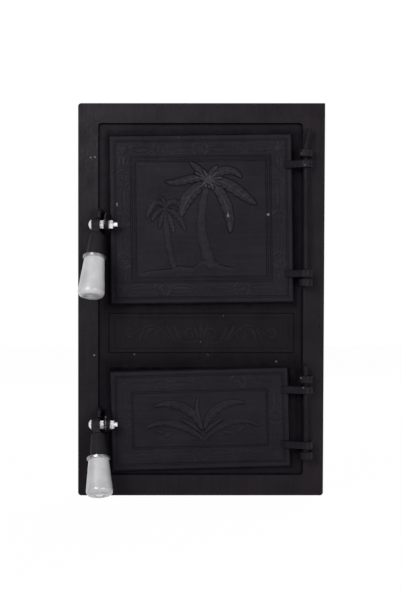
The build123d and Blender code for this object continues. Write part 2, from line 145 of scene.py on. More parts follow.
class ReliefField:
    """Heights of a cast relief over the points of a surface, built up figure by figure."""

    def __init__(self, x: Array, z: Array) -> None:
        """Starts level. The coordinates are those of the front view, in millimetres."""
        self.x = x
        self.z = z
        self.height = np.zeros(x.shape)

    def _near(self, path: Array, reach: float) -> Array:
        """Marks the points in the line's box, widened by the reach."""
        (left, low), (right, high) = path.min(axis=0) - reach, path.max(axis=0) + reach
        return (self.x > left) & (self.x < right) & (self.z > low) & (self.z < high)

    def _raise(self, near: Array, height: Array) -> None:
        """Keeps the higher of the old and the new height at the marked points."""
        self.height[near] = np.maximum(self.height[near], height)

    def stroke(self, path: Array, widths: Point, height: float, rings: float = 0.0) -> None:
        """Lays a rounded bar along a line.

        The height falls as a circle does, from the middle to the bar's edge. With rings it also
        dips a little that many times along the bar, and its width swells half as often, as the
        scars and the bulges on a palm trunk do.

        Args:
            path: The line.
            widths: Half the bar's width at its start and at its end.
            height: Height of its middle.
            rings: How many scars cross it.
        """
        near = self._near(path, max(widths) + 0.1)
        apart, share, _ = nearest_on_path(path, self.x[near], self.z[near])
        half = widths[0] + (widths[1] - widths[0]) * share
        if rings:
            half = half * (1.0 + 0.09 * np.sin(2 * math.pi * rings * 0.53 * share))
        across = apart / half
        form = np.sqrt(np.clip(1.0 - across**2, 0.0, 1.0))
        if rings:
            form = form * (0.92 + 0.08 * np.cos(2 * math.pi * (rings * share + 0.35 * across**2)))
        self._raise(near, height * form)

    def leaf(
        self,
        path: Array,
        width: float,
        height: float,
        leaflets: float,
        notch: tuple[float, float] = (0.0, 0.0),
        fullness: float = 0.85,
    ) -> None:
        """Lays a feathered leaf along a line.

        Half its width is the sine of the share of its length, so that it is narrow at both ends.
        Its face slopes from a rib down to a steep edge, slanted grooves part its leaflets, and
        each leaflet may end in a notch.

        Args:
            path: The leaf's rib, from its stalk to its tip.
            width: Half the leaf's greatest width.
            height: Height of the rib.
            leaflets: How many leaflets each side has.
            notch: Depth of the notches as a share of the width, left and right of the rib.
            fullness: Power of the sine, less for a fuller leaf.
        """
        near = self._near(path, width + 0.5)
        apart, share, side = nearest_on_path(path, self.x[near], self.z[near])
        half = width * np.sin(math.pi * share**0.8) ** fullness + 0.25
        tooth = np.mod(leaflets * share, 1.0)
        depth = np.where(side > 0.0, notch[0], notch[1])
        half = half * (1.0 - depth * tooth)
        across = np.clip(apart / half, 0.0, 1.0)
        edge = smooth_step((half - apart) / 0.85)
        slope = 0.62 + 0.38 * (1.0 - across)
        groove = 0.5 - 0.5 * np.cos(2 * math.pi * (leaflets * share - 0.9 * across))
        rib = 0.22 * np.exp(-((apart / 0.5) ** 2))
        self._raise(near, height * edge * (slope + rib - 0.1 * groove * smooth_step(across * 3.0)))

    def bump(self, centre: Point, radii: Point, height: float, turn: float = 0.0) -> None:
        """Lays a low oval dome, whose height falls as a circle does.

        Args:
            centre: Its middle.
            radii: Half its length and half its width.
            height: Height of its middle.
            turn: Degrees from level to its length.
        """
        c, s = math.cos(math.radians(turn)), math.sin(math.radians(turn))
        dx, dz = self.x - centre[0], self.z - centre[1]
        across = ((dx * c + dz * s) / radii[0]) ** 2 + ((dz * c - dx * s) / radii[1]) ** 2
        self._raise(across < 1.0, height * np.sqrt(1.0 - across[across < 1.0]))

    def ground(self, ridge: Sequence[Point], height: float, fade: float) -> None:
        """Lays a bank of earth under a ridge line.

        Under the line the height rises over a millimetre, and then sinks again over the fade.

        Args:
            ridge: The top of the bank, from left to right.
            height: Height just under the line.
            fade: Distance below the line over which the bank sinks to a third.
        """
        line = np.asarray(ridge, float)
        below = np.interp(self.x, line[:, 0], line[:, 1]) - self.z
        inside = (below > 0.0) & (self.x >= line[0, 0]) & (self.x <= line[-1, 0])
        x = self.x[inside]
        ends = smooth_step((x - line[0, 0]) / 2.0) * smooth_step((line[-1, 0] - x) / 9.0)
        form = smooth_step(below[inside] / 1.1) * (1.0 - 0.66 * smooth_step(below[inside] / fade))
        self._raise(inside, height * form * ends)

    def rubbing_and_shade(self, top: float, rub: float, outline: float, cells: int = 3) -> Array:
        """Works out where the paint is rubbed and where painted shade darkens the creases.

        A point's rubbing is its share of the top height. Its painted shade is how much lower it lies than
        the mean of sixteen points on two rings round it, which draws a dark line of painted shade round
        each figure.

        Args:
            top: Height that counts as fully rubbed.
            rub: How rubbed the highest places are.
            outline: Painted shade for each millimetre of that difference.
            cells: Radius of the outer ring in cells of the grid.

        Returns:
            Values from -1, all painted shade, to 1, fully rubbed.
        """
        turns = np.radians(np.arange(0, 360, 45))
        rings = (cells, max(1, cells // 2))
        mean = np.zeros(self.height.shape)
        for radius in rings:
            for turn in turns:
                step = (int(round(radius * math.sin(turn))), int(round(radius * math.cos(turn))))
                mean += np.roll(self.height, step, axis=(0, 1)) / (len(rings) * len(turns))
        # Painted shade: darker where a point lies below the mean round it, in the creases round each figure.
        painted_shade = np.clip((mean - self.height) * outline, 0.0, 1.0)
        return np.clip(rub * smooth_step(self.height / top) ** 1.8 - 1.2 * painted_shade, -1.0, 1.0)


@dataclass(frozen=True)
class Plate:
    """A door's plate or the frame's panel in the front view: its edges, its face and its turn."""

    body: str
    left: float
    right: float
    low: float
    high: float
    face: float
    turn: float = 0.0

    @property
    def middle(self) -> Point:
        """The middle of the plate."""
        return (self.left + self.right) / 2, (self.low + self.high) / 2

    @property
    def half(self) -> Point:
        """Half the plate's width and half its height."""
        return (self.right - self.left) / 2, (self.high - self.low) / 2

    def place(self, along: Array, up: Array, y: Array) -> Array:
        """Carries places on the plate, measured from its middle, into the part's frame.

        The plate is turned in its own plane by its angle, with the left side going down.

        Args:
            along: Distances to the right of the middle.
            up: Distances above it.
            y: Depths.

        Returns:
            The places, as the inputs' shape by three.
        """
        c, s = math.cos(math.radians(self.turn)), math.sin(math.radians(self.turn))
        x, z = self.middle
        return np.stack([x + along * c - up * s, y, z + along * s + up * c], axis=-1)


class Shape:
    """A mesh that is worked out as whole arrays."""

    def __init__(self, name: str) -> None:
        """Starts with no points and no faces."""
        self.name = name
        self._points: list[Array] = []
        self._faces: list[Array] = []
        self._rounds: list[bool] = []
        self._wear_and_shade: list[Array] = []
        self._count = 0

    def _add(self, points: Array, wear_and_shade: Array | None) -> int:
        """Adds rows of points.

        Args:
            points: Places in millimetres, one to a row.
            wear_and_shade: A value at each point, for rubbing and painted shade, or none for zeros.

        Returns:
            The number of the first point.
        """
        start = self._count
        self._points.append(points)
        self._wear_and_shade.append(np.zeros(len(points)) if wear_and_shade is None else wear_and_shade)
        self._count += len(points)
        return start

    def grid(
        self,
        points: Array,
        wrap: tuple[bool, bool] = (False, False),
        wear_and_shade: Array | None = None,
        flip: bool = False,
        rounded: bool = True,
    ) -> int:
        """Adds a surface on a grid of points.

        Each face joins four neighbours. A wrapped direction also joins its last row to its first.

        Args:
            points: Places in millimetres, as rows by columns by three.
            wrap: Whether the rows and the columns close on themselves.
            wear_and_shade: A value at each point, for rubbing and painted shade.
            flip: Whether the faces turn their other side out.
            rounded: Whether the faces are shaded as one smooth surface.

        Returns:
            The number of the surface's first point.
        """
        rows, columns = points.shape[:2]
        start = self._add(points.reshape(-1, 3), None if wear_and_shade is None else wear_and_shade.ravel())
        i = np.arange(rows if wrap[0] else rows - 1)[:, None]
        j = np.arange(columns if wrap[1] else columns - 1)[None, :]
        i2, j2 = (i + 1) % rows, (j + 1) % columns
        corners = [i * columns + j, i2 * columns + j, i2 * columns + j2, i * columns + j2]
        quads = np.stack(corners, axis=-1).reshape(-1, 4) + start
        self._faces.append(quads[:, ::-1] if flip else quads)
        self._rounds.append(rounded)
        return start

    def cap(self, numbers: Iterable[int]) -> None:
        """Closes a loop of points with one face."""
        self._faces.append(np.asarray(list(numbers))[None, :])
        self._rounds.append(False)

    def build(self) -> bpy.types.Object:
        """Makes the object, at the origin and unturned.

        Returns:
            The object, linked to the scene.
        """
        points = np.concatenate(self._points) * MM
        loops = np.concatenate([f.ravel() for f in self._faces])
        sizes = np.concatenate([np.full(len(f), f.shape[1]) for f in self._faces])
        rounds = np.concatenate([np.full(len(f), r) for f, r in zip(self._faces, self._rounds)])
        mesh = bpy.data.meshes.new(self.name)
        mesh.vertices.add(len(points))
        mesh.vertices.foreach_set("co", points.astype(np.float32).ravel())
        mesh.loops.add(len(loops))
        mesh.loops.foreach_set("vertex_index", loops.astype(np.int32))
        mesh.polygons.add(len(sizes))
        mesh.polygons.foreach_set("loop_start", (np.cumsum(sizes) - sizes).astype(np.int32))
        mesh.polygons.foreach_set("use_smooth", rounds.astype(bool))
        mesh.update(calc_edges=True)
        # Rubbing and painted shade at each point, which the paint reads.
        wear_and_shade = mesh.attributes.new("wear_and_shade", "FLOAT", "POINT")
        wear_and_shade.data.foreach_set("value", np.concatenate(self._wear_and_shade).astype(np.float32))
        if mesh.validate():
            LOG.warning("%s had faults in its mesh", self.name)
        piece = bpy.data.objects.new(self.name, mesh)
        bpy.context.scene.collection.objects.link(piece)
        return piece


class Graph:
    """The nodes of one material or of the world."""

    def __init__(self, tree: bpy.types.NodeTree) -> None:
        """Clears the tree."""
        self.tree = tree
        tree.nodes.clear()

    def add(self, kind: str, settings: dict | None = None, sockets: dict | None = None) -> bpy.types.Node:
        """Adds a node.

        Args:
            kind: The node's type.
            settings: Values of the node itself.
            sockets: Values of its inputs, or the outputs that feed them, by name or number.

        Returns:
            The node.
        """
        node = self.tree.nodes.new(kind)
        for name, value in (settings or {}).items():
            setattr(node, name, value)
        for name, value in (sockets or {}).items():
            socket = node.inputs[name]
            if isinstance(value, Socket):
                self.tree.links.new(value, socket)
            elif isinstance(value, tuple) and len(value) == 3 and socket.type == "RGBA":
                socket.default_value = (*value, 1.0)
            else:
                socket.default_value = value
        return node

    def noise(self, at: Socket, scale: float, detail: float = 2.0, rough: float = 0.5) -> Socket:
        """Adds a noise.

        Args:
            at: Where it is read.
            scale: Waves to the metre.
            detail: How many finer noises lie on top.
            rough: Strength of each finer one as a share of the last.

        Returns:
            Its value.
        """
        node = self.add(
            "ShaderNodeTexNoise",
            {"noise_dimensions": "3D"},
            {"Vector": at, "Scale": scale, "Detail": detail, "Roughness": rough},
        )
        return node.outputs["Fac"]

    def spread(self, value: Socket, source: Point, target: Point) -> Socket:
        """Carries a value from one range to another, held at the ends.

        Args:
            value: The value.
            source: Where it starts and ends, in either order.
            target: What it becomes there.

        Returns:
            The new value.
        """
        node = self.add(
            "ShaderNodeMapRange",
            {"interpolation_type": "SMOOTHSTEP"},
            {
                "Value": value,
                "From Min": source[0],
                "From Max": source[1],
                "To Min": target[0],
                "To Max": target[1],
            },
        )
        return node.outputs["Result"]

    def math(self, operation: str, *values: Socket | float) -> Socket:
        """Adds a sum or the like of numbers and returns its value."""
        return self.add("ShaderNodeMath", {"operation": operation}, dict(enumerate(values))).outputs[0]

    def vector(self, operation: str, place: Socket, other: Place) -> bpy.types.NodeOutputs:
        """Adds a product or the like of a place and three numbers, and returns the node's outputs."""
        return self.add("ShaderNodeVectorMath", {"operation": operation}, {0: place, 1: other}).outputs

    def split(self, place: Socket) -> bpy.types.NodeOutputs:
        """Parts a place into X, Y and Z and returns the three outputs."""
        return self.add("ShaderNodeSeparateXYZ", None, {0: place}).outputs

    def blend(self, share: Socket, first: Colour | Socket, second: Colour | Socket) -> Socket:
        """Mixes two colours.

        Args:
            share: Share of the second colour.
            first: The first colour.
            second: The second colour.

        Returns:
            The mixed colour.
        """
        node = self.add("ShaderNodeMix", {"data_type": "RGBA"})
        self.tree.links.new(share, node.inputs[0])
        for socket, value in ((node.inputs[6], first), (node.inputs[7], second)):
            if isinstance(value, Socket):
                self.tree.links.new(value, socket)
            else:
                socket.default_value = (*value, 1.0)
        return node.outputs[2]

    def cover(self, share: Socket, under: bpy.types.Node, over: bpy.types.Node) -> Socket:
        """Mixes two shaders, by the share of the second, and returns the result."""
        sockets = {0: share, 1: under.outputs[0], 2: over.outputs[0]}
        return self.add("ShaderNodeMixShader", None, sockets).outputs[0]

    def bump(
        self,
        height: Socket,
        depth: float,
        strength: float = 1.0,
        under: Socket | None = None,
    ) -> Socket:
        """Turns a height into a normal.

        Args:
            height: A height from 0 to 1.
            depth: Depth of the relief in millimetres.
            strength: Share of it that shows.
            under: The normal that it lies on, if there is one.

        Returns:
            The normal.
        """
        sockets = {"Height": height, "Distance": depth * MM, "Strength": strength}
        if under is not None:
            sockets["Normal"] = under
        return self.add("ShaderNodeBump", None, sockets).outputs["Normal"]


@dataclass(frozen=True)
class PaintedSeatShade:
    """Painted shade on the seat round a plate, the shadow beside a door and the dark crease inside the recess's
    edge: its share below and above the plate, and how far it reaches.
    """

    plate: Plate
    below: float
    above: float
    reach: float


@dataclass(frozen=True)
class Finish:
    """What every finish has: the name of its material, and a slot name, which is not used."""

    name: str
    slot: str

    def start(self) -> tuple[bpy.types.Material, Graph, Socket]:
        """Makes the empty material.

        Returns:
            The material, its nodes and the object's coordinates.
        """
        material = bpy.data.materials.new(self.name)
        material.use_nodes = True
        graph = Graph(material.node_tree)
        return material, graph, graph.add("ShaderNodeTexCoord").outputs["Object"]

    @staticmethod
    def close(graph: Graph, sockets: dict) -> None:
        """Adds the surface shader and the material's output."""
        shader = graph.add("ShaderNodeBsdfPrincipled", None, sockets)
        graph.add("ShaderNodeOutputMaterial", None, {"Surface": shader.outputs["BSDF"]})


@dataclass(frozen=True)
class StovePaint(Finish):
    """Black stove paint over sand-cast iron: uneven tone, a fine grain, rubbed high places and flaked spots,
    with painted shade in creases and the recess, painted shadows round the doors, painted highlights and
    painted light towards one corner.

    Waves are to the metre. Depths, insets, reaches and places are in millimetres.
    """

    deep: Colour
    dusty: Colour
    # The rubbed paint's tone, also used for the painted light towards the top left corner.
    rubbed: Colour = (0.050, 0.046, 0.049)
    # The matt colour of the painted shade.
    painted_shade: Colour = (0.0012, 0.0010, 0.0013)
    # Uncoated iron in flaked spots, also the colour of the painted highlights.
    bare_and_highlight: Colour = (0.15, 0.145, 0.148)
    gloss: float = 0.12
    roughness: Point = (0.42, 0.60)
    cloud_waves: float = 22.0
    swell_waves: float = 130.0
    swell_depth: float = 0.55
    grain_waves: float = 1150.0
    grain_depth: float = 0.10
    # Share of painted shade over the whole recess.
    recess_shade: float = 0.0
    # Painted light: how much the tone brightens towards a corner, where the corner lies, and the distances over
    # which it rises.
    painted_light: float = 0.0
    painted_light_corner: Place = (-190.0, 0.0, 520.0)
    painted_light_reach: Point = (400.0, 20.0)
    brushed: Place = (14.0, 14.0, 300.0)
    # Painted shadows round the doors and painted shade along the inside of the recess's edge.
    painted_seat_shades: tuple[PaintedSeatShade, ...] = ()
    # The plate whose beads get painted shade along their feet, and the beads' insets.
    beaded: Plate | None = None
    beads: tuple[float, ...] = ()
    # Flaked spots of uncoated iron and painted highlights, as places of the front view with radii.
    chips_and_highlights: tuple[Place, ...] = ()
    behind: float = -5.5

    def make(self) -> bpy.types.Material:
        """Builds the material.

        The paint's gloss is under a matt layer of painted shade, by a share. The share is the painted shade
        in the relief's creases and along the beads' feet or, behind the flange's face, that of the recess
        and of the painted shadows round the doors, whichever is most. Painted light brightens the paint
        towards the top left corner. Flaked spots and painted highlights lie at places of the front view,
        each with its radius. Neither they nor the beads' shade mark what lies behind a depth.

        Returns:
            The material.
        """
        material, graph, at = self.start()
        cloud = graph.noise(at, self.cloud_waves, 4.0, 0.6)
        swell = graph.noise(at, self.swell_waves, 3.0, 0.55)
        grain = graph.noise(at, self.grain_waves, 3.0, 0.6)
        tone = graph.blend(graph.spread(cloud, (0.35, 0.68), (0.0, 1.0)), self.deep, self.dusty)
        brushing = graph.add("ShaderNodeMapping", None, {"Vector": at, "Scale": self.brushed})
        streaks = graph.noise(brushing.outputs[0], 1.0, 3.0, 0.6)
        streaks = graph.spread(streaks, (0.42, 0.72), (0.0, 0.05))
        tone = graph.blend(streaks, tone, self.rubbed)
        # Painted light: the tone goes towards the rubbed tone near the top left corner.
        if self.painted_light:
            x, y, z = (value * MM for value in self.painted_light_corner)
            apart = graph.vector("DISTANCE", at, (x, y, z))["Value"]
            outer, inner = (value * MM for value in self.painted_light_reach)
            painted_light = graph.spread(apart, (outer, inner), (0.0, self.painted_light))
            uneven = graph.spread(cloud, (0.3, 0.7), (0.5, 1.0))
            tone = graph.blend(graph.math("MULTIPLY", painted_light, uneven), tone, self.rubbed)
        wear_and_shade = graph.add("ShaderNodeAttribute", {"attribute_name": "wear_and_shade"}).outputs["Fac"]
        patches = graph.spread(graph.noise(at, 420.0, 4.0, 0.65), (0.38, 0.62), (0.25, 1.0))
        rubbed = graph.math("MAXIMUM", graph.math("MULTIPLY", wear_and_shade, patches), 0.0)
        tone = graph.blend(rubbed, tone, self.rubbed)
        # Painted shade in the relief's creases, where the value is below 0.
        shade_share = graph.math("MAXIMUM", graph.math("MULTIPLY", wear_and_shade, -0.8), 0.0)
        # Painted shade in the recess and painted shadows round the doors, behind the flange's face.
        if self.recess_shade:
            shade_share = graph.math("MAXIMUM", shade_share, self._painted_recess_shade(graph, at))
        # Painted shade along the feet of the beads, in front of the depth only.
        if self.beaded is not None:
            beside = self._painted_bead_shade(graph, at, self.beaded)
            in_front = self._in_front(graph, at)
            shade_share = graph.math("MAXIMUM", shade_share, graph.math("MULTIPLY", beside, in_front))
        # Flaked spots of uncoated iron and painted highlights.
        if self.chips_and_highlights:
            chip_and_highlight_mask = graph.math("MULTIPLY", self._chip_and_highlight_places(graph, at), self._in_front(graph, at))
            tone = graph.blend(chip_and_highlight_mask, tone, self.bare_and_highlight)
        roughness = graph.spread(graph.noise(at, 60.0, 3.0, 0.6), (0.3, 0.7), self.roughness)
        normal = graph.bump(grain, self.grain_depth, 0.9, graph.bump(swell, self.swell_depth))
        paint = graph.add(
            "ShaderNodeBsdfPrincipled",
            None,
            {
                "Base Color": tone,
                "Roughness": roughness,
                "Normal": normal,
                "Specular IOR Level": self.gloss,
            },
        )
        # The matt layer is the painted shade, laid over the paint by its share.
        matt = graph.add("ShaderNodeBsdfDiffuse", None, {"Color": self.painted_shade, "Normal": normal})
        graph.add("ShaderNodeOutputMaterial", None, {"Surface": graph.cover(shade_share, paint, matt)})
        return material

    def _painted_recess_shade(self, graph: Graph, at: Socket) -> Socket:
        """Works out the painted shade in the recess and the painted shadows round the doors, which are greatest
        close to a door's edge.

        Args:
            graph: The material's nodes.
            at: The object's coordinates.

        Returns:
            The share of painted shade.
        """
        way = graph.split(at)
        behind = graph.spread(way["Y"], (-5.6 * MM, -2.6 * MM), (0.0, 1.0))
        share: Socket | float = self.recess_shade
        uneven = graph.spread(graph.noise(at, 45.0, 3.0, 0.6), (0.3, 0.7), (0.75, 1.0))
        for seat_shade in self.painted_seat_shades:
            plate = seat_shade.plate
            outside = self._outside(graph, way, plate)
            edge = graph.spread(outside, (seat_shade.reach * MM, 0.5 * MM), (0.0, 1.0))
            level = graph.spread(way["Z"], (plate.low * MM, plate.high * MM), (seat_shade.below, seat_shade.above))
            seat_shaded = graph.math("MULTIPLY", graph.math("MULTIPLY", edge, level), uneven)
            share = graph.math("MAXIMUM", share, seat_shaded)
        return graph.math("MULTIPLY", share, behind)

    def _in_front(self, graph: Graph, at: Socket) -> Socket:
        """Returns 1 in front of the depth that marks don't reach behind, and 0 behind it."""
        depth = graph.split(at)["Y"]
        return graph.spread(depth, ((self.behind + 0.5) * MM, self.behind * MM), (0.0, 1.0))

    @staticmethod
    def _outside(graph: Graph, way: bpy.types.NodeOutputs, plate: Plate) -> Socket:
        """Works out how far a place lies outside a plate's edges in the front view.

        Args:
            graph: The material's nodes.
            way: The place's X, Y and Z.
            plate: The plate.

        Returns:
            The distance in metres, less than 0 inside the edges.
        """
        apart = []
        for axis, middle, half in zip("XZ", plate.middle, plate.half):
            from_middle = graph.math("ABSOLUTE", graph.math("SUBTRACT", way[axis], middle * MM))
            apart.append(graph.math("SUBTRACT", from_middle, half * MM))
        return graph.math("MAXIMUM", *apart)

    def _painted_bead_shade(self, graph: Graph, at: Socket, plate: Plate) -> Socket:
        """Works out the painted shade along the feet of the beads, which run round at their insets.

        Args:
            graph: The material's nodes.
            at: The object's coordinates.
            plate: The plate that has the beads.

        Returns:
            The share of soot.
        """
        centre = (plate.middle[0] * MM, 0.0, plate.middle[1] * MM)
        level = graph.add(
            "ShaderNodeVectorRotate",
            {"rotation_type": "Y_AXIS"},
            {"Vector": at, "Center": centre, "Angle": math.radians(plate.turn)},
        )
        outside = self._outside(graph, graph.split(level.outputs[0]), plate)
        uneven = graph.spread(graph.noise(at, 60.0, 3.0, 0.6), (0.3, 0.7), (0.5, 1.0))
        share: Socket | None = None
        for inset in self.beads:
            off = graph.math("ABSOLUTE", graph.math("ADD", outside, inset * MM))
            line = graph.spread(off, (0.9 * MM, 0.1 * MM), (0.0, 0.42))
            share = line if share is None else graph.math("MAXIMUM", share, line)
        return graph.math("MULTIPLY", share, uneven)

    def _chip_and_highlight_places(self, graph: Graph, at: Socket) -> Socket:
        """Marks the flaked spots and the painted highlights, with ragged edges.

        Args:
            graph: The material's nodes.
            at: The object's coordinates.

        Returns:
            1 inside the spots and the highlights and 0 outside.
        """
        flat = graph.vector("MULTIPLY", at, (1.0, 0.0, 1.0))[0]
        nearest: Socket | None = None
        for x, z, radius in self.chips_and_highlights:
            apart = graph.vector("DISTANCE", flat, (x * MM, 0.0, z * MM))["Value"]
            inside = graph.math("SUBTRACT", apart, radius * MM)
            nearest = inside if nearest is None else graph.math("MINIMUM", nearest, inside)
        wander = graph.math("SUBTRACT", graph.noise(at, 900.0, 3.0), 0.5)
        ragged = graph.math("MULTIPLY", wander, 3.2 * MM)
        return graph.spread(graph.math("ADD", nearest, ragged), (0.25 * MM, -0.35 * MM), (0.0, 1.0))


@dataclass(frozen=True)
class PlatedMetal(Finish):
    """Plated steel: bright, a little clouded, with fine marks."""

    tint: Colour
    clouded: Colour
    roughness: Point
    metallic: float = 1.0

    def make(self) -> bpy.types.Material:
        """Builds the material.

        Returns:
            The material.
        """
        material, graph, at = self.start()
        cloud = graph.spread(graph.noise(at, 260.0, 4.0, 0.6), (0.35, 0.7), (0.0, 1.0))
        marks = graph.noise(at, 2600.0, 2.0)
        self.close(
            graph,
            {
                "Base Color": graph.blend(cloud, self.tint, self.clouded),
                "Metallic": self.metallic,
                "Roughness": graph.spread(cloud, (0.0, 1.0), self.roughness),
                "Normal": graph.bump(marks, 0.02, 0.6),
            },
        )
        return material


@dataclass(frozen=True)
class Glaze(Finish):
    """Pale grey glaze over a fired body, with a clear, even gloss."""

    tint: Colour = (0.47, 0.465, 0.475)
    shade: Colour = (0.40, 0.395, 0.41)
    body_roughness: float = 0.42
    glaze_roughness: float = 0.16

    def make(self) -> bpy.types.Material:
        """Builds the material.

        Returns:
            The material.
        """
        material, graph, at = self.start()
        cloud = graph.spread(graph.noise(at, 70.0, 3.0, 0.5), (0.3, 0.7), (0.0, 1.0))
        ripple = graph.noise(at, 55.0, 1.0)
        self.close(
            graph,
            {
                "Base Color": graph.blend(cloud, self.tint, self.shade),
                "Roughness": self.body_roughness,
                "Normal": graph.bump(ripple, 0.12),
                "Coat Weight": 0.7,
                "Coat Roughness": self.glaze_roughness,
                "Coat IOR": 1.5,
            },
        )
        return material


class Ornament(Enum):
    """The figures that a cast field may hold."""

    PALMS = "palms"
    PLANT = "plant"
    SCROLLS = "scrolls"


@dataclass
class CastField:
    """A field of relief inside a bead, on a door or on the panel."""

    name: str
    plate: Plate
    ornament: Ornament
    inset: float
    rub: float
    pitch: float = 0.56
    lift: float = 0.06
    root: float = 0.5
    # How dark the painted shade in the creases round the figures is.
    outline: float = 5.0

    def make(self, paint: bpy.types.Material) -> bpy.types.Object:
        """Builds the field's surface.

        The surface is the face's plane, brought forward at each point by the relief's height. A
        skirt round its edge goes back into the casting, where one face closes it.

        Args:
            paint: The casting's finish.

        Returns:
            The piece.
        """
        plate = self.plate
        half_x, half_z = (half - self.inset for half in plate.half)
        columns, rows = (int(round(2 * half / self.pitch)) + 1 for half in (half_x, half_z))
        across, upright = np.linspace(-half_x, half_x, columns), np.linspace(-half_z, half_z, rows)
        along, up = np.meshgrid(across, upright)
        field = ReliefField(along + plate.middle[0], up)
        drawings = {
            Ornament.PALMS: draw_palms,
            Ornament.PLANT: draw_plant,
            Ornament.SCROLLS: draw_scrolls,
        }
        drawings[self.ornament](field)
        shape = Shape(self.name)
        front = plate.place(along, up, plate.face - self.lift - field.height)
        # Rubbing on the high places and painted shade in the creases.
        shape.grid(front, wear_and_shade=field.rubbing_and_shade(field.height.max(), self.rub, self.outline), flip=True)
        number = np.arange(rows * columns).reshape(rows, columns)
        edge = np.concatenate([number[0, :], number[1:, -1], number[-1, -2::-1], number[-2:0:-1, 0]])
        rim = front.reshape(-1, 3)[edge]
        back = rim.copy()
        back[:, 1] = plate.face + self.root
        skirt = shape.grid(np.stack([rim, back]), wrap=(False, True), rounded=False)
        shape.cap(skirt + len(edge) + np.arange(len(edge))[::-1])
        piece = shape.build()
        piece.data.materials.append(paint)
        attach(piece, plate.body)
        return piece


def draw_palms(field: ReliefField) -> None:
    """Draws two palms on a bank: a tall one in the middle and a short one at the left."""
    far_bank = [
        (-80.0, -44.5), (-71.0, -42.0), (-64.0, -41.0), (-53.0, -45.8), (-46.0, -53.0), (-40.0, -60.0),
    ]
    near_bank = [
        (-78.0, -68.0), (-62.1, -64.9), (-38.5, -63.1), (-27.6, -59.4), (-9.4, -61.7),
        (-3.9, -56.8), (3.3, -54.1), (21.5, -57.7), (34.0, -61.0), (46.0, -64.0),
    ]
    tall_trunk = [
        (8.6, 44.0), (6.2, 33.1), (2.6, 13.1), (0.6, -3.2), (2.8, -23.2), (6.0, -39.5), (12.0, -57.7),
    ]
    short_trunk = [(-44.9, 12.0), (-43.6, -12.3), (-41.2, -30.4), (-34.8, -60.0)]
    crown_tips = [
        (-8.0, 60.0), (4.0, 63.5), (24.0, 60.5), (30.0, 52.5),
        (28.0, 42.0), (17.0, 36.0), (-1.0, 39.5), (-9.0, 53.5),
    ]
    field.ground(far_bank, 0.16, 14.0)
    field.ground(near_bank, 0.6, 9.0)
    field.bump((10.0, -56.5), (14.0, 4.0), 0.6, -4.0)
    field.stroke(smooth_path(tall_trunk, 48, 5), (3.2, 7.4), 0.68, 9.0)
    field.stroke(smooth_path(short_trunk, 40), (3.3, 3.8), 0.56, 9.0)
    for points, width, notch in (
        ([(7.0, 50.0), (-3.1, 64.0), (-13.1, 72.6)], 5.0, (0.25, 0.05)),
        ([(8.0, 50.0), (-13.1, 50.2), (-29.4, 46.7), (-44.4, 48.2)], 5.6, (0.3, 0.05)),
        ([(6.0, 45.0), (-9.3, 33.4), (-18.6, 20.4), (-23.6, 3.0)], 8.4, (0.3, 0.05)),
        ([(14.5, 49.0), (27.8, 27.9), (34.2, 11.4), (36.9, -18.5)], 7.6, (0.1, 0.3)),
        ([(16.0, 48.5), (37.8, 41.5), (52.3, 31.3), (71.5, 17.4)], 8.0, (0.1, 0.3)),
        ([(13.5, 50.0), (30.3, 60.6), (41.4, 60.0), (52.5, 51.5)], 6.0, (0.05, 0.3)),
        ([(12.0, 50.0), (16.9, 60.4), (22.5, 67.5)], 5.0, (0.2, 0.2)),
    ):
        field.leaf(smooth_path(points), width, 0.85, 6.0, notch, 0.5)
    for tip in crown_tips:
        field.leaf(smooth_path([(11.5, 50.0), tip], degree=1), 3.0, 1.15, 3.0, (0.2, 0.2), 0.6)
    field.bump((12.0, 50.0), (9.5, 7.5), 1.3)
    for centre in ((7.4, 42.0), (11.6, 40.8), (15.4, 42.6)):
        field.bump(centre, (2.2, 2.6), 1.3)
    for points, width in (
        ([(-44.5, 15.0), (-56.7, 20.4), (-63.9, 11.4), (-69.0, 0.8)], 3.6),
        ([(-45.5, 13.6), (-54.8, 8.2), (-62.0, -2.6)], 3.3),
        ([(-44.5, 12.0), (-49.5, 1.0), (-52.5, -12.0)], 3.0),
        ([(-44.2, 15.5), (-46.0, 23.0), (-51.5, 29.0)], 2.6),
        ([(-43.5, 15.0), (-33.0, 21.9), (-25.4, 17.6), (-22.4, 4.6)], 3.7),
        ([(-42.5, 12.0), (-29.4, 5.0), (-23.0, -5.0), (-19.6, -15.6)], 4.0),
        ([(-43.0, 10.0), (-37.6, -3.3), (-34.4, -18.2)], 3.2),
    ):
        field.leaf(smooth_path(points), 1.25 * width, 0.6, 6.0, (0.4, 0.4), 0.5)
    field.bump((-44.4, 13.6), (3.4, 3.0), 0.62)


